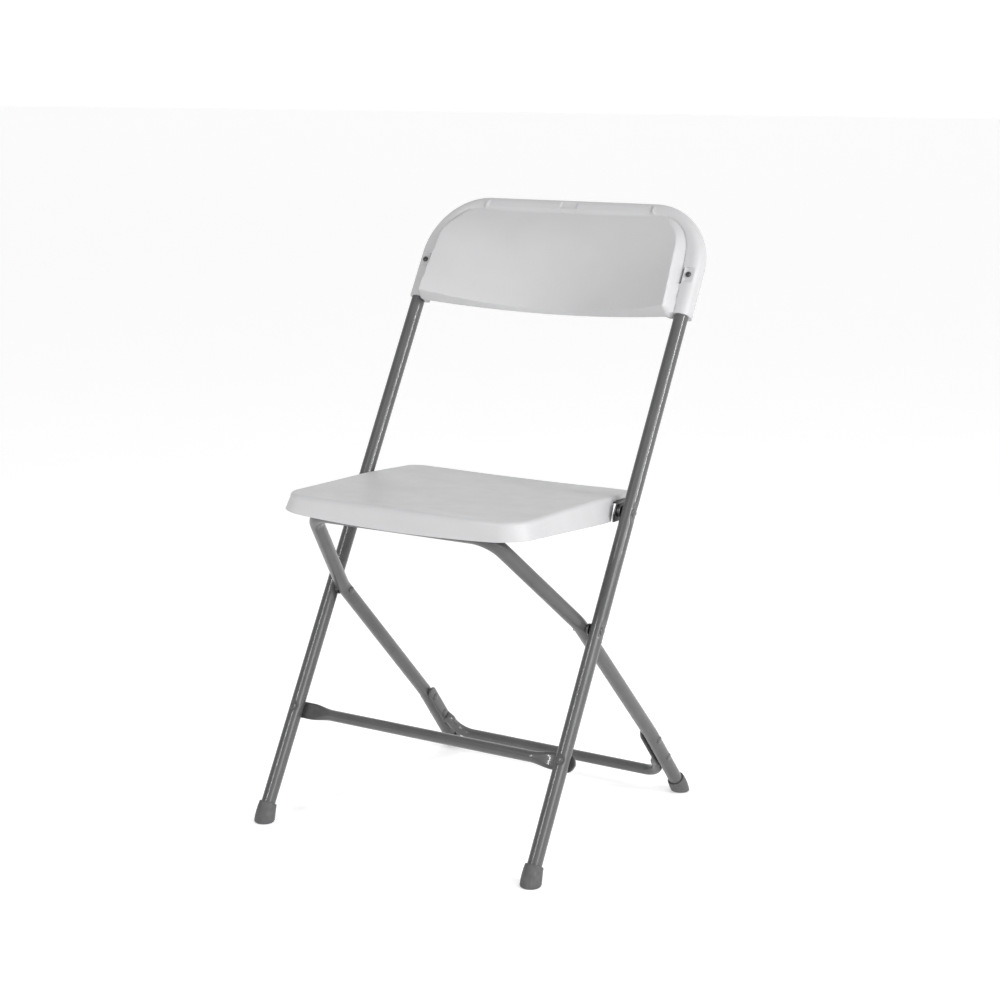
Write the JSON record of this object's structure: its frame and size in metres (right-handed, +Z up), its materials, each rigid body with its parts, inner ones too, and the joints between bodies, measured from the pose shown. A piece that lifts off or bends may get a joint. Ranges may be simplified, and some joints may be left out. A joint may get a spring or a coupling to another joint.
{
  "type": "folding chair",
  "caption": "Folding chair with a tubular steel scissor frame, a moulded seat that tips up as it folds, and a curved moulded backrest.",
  "frame": {"origin": "on the floor, under the middle of the open chair's bounding box", "axes": "+Z up; the chair faces -Y, +X is to the right of someone who looks at its front from ahead of it towards +Y"},
  "size_m": [0.4476, 0.461, 0.8096],
  "materials": {
    "plastic": "fine-grained satin moulding, light grey",
    "powder_coat": "semi-gloss grey powder coat on steel tube",
    "rubber": "matt dark grey",
    "zinc_steel": "bright zinc plate"
  },
  "bodies": {
    "front_frame": {"backrest": "plastic", "backrest_screw_left": "zinc_steel", "backrest_screw_right": "zinc_steel", "crossbar_rivet_left": "powder_coat", "crossbar_rivet_right": "powder_coat", "front_crossbar": "powder_coat", "front_foot_left": "rubber", "front_foot_right": "rubber", "front_leg_tube": "powder_coat", "scissor_rivet_left": "powder_coat", "scissor_rivet_right": "powder_coat", "scissor_spacer_left": "zinc_steel", "scissor_spacer_right": "zinc_steel", "seat_pivot_rivet_left": "powder_coat", "seat_pivot_rivet_right": "powder_coat", "seat_pivot_spacer_left": "zinc_steel", "seat_pivot_spacer_right": "zinc_steel"},
    "rear_frame": {"brace_rivet_left_lower": "powder_coat", "brace_rivet_left_upper": "powder_coat", "brace_rivet_right_lower": "powder_coat", "brace_rivet_right_upper": "powder_coat", "rear_brace": "powder_coat", "rear_foot_left": "rubber", "rear_foot_right": "rubber", "rear_leg_tube": "powder_coat"},
    "seat": {"bar_saddle_left": "plastic", "bar_saddle_right": "plastic", "bracket_screw_left_1": "zinc_steel", "bracket_screw_left_2": "zinc_steel", "bracket_screw_right_1": "zinc_steel", "bracket_screw_right_2": "zinc_steel", "seat_pivot_bracket_left": "zinc_steel", "seat_pivot_bracket_right": "zinc_steel", "seat_shell": "plastic"}
  },
  "joints": [
    {"name": "rear_frame_fold", "type": "hinge", "parent": "front_frame", "child": "rear_frame", "pos_m": [0, -0.06066, 0.29101], "axis": [-1, 0, 0], "range_deg": [0, 62.6]},
    {"name": "seat_fold", "type": "hinge", "parent": "front_frame", "child": "seat", "pos_m": [0, 0.01533, 0.43068], "axis": [-1, 0, 0], "range_deg": [0, 118.55]}
  ],
  "couplings": [
    {"joint": "seat_fold", "follows": "rear_frame_fold", "ratio": 1.8938}
  ]
}
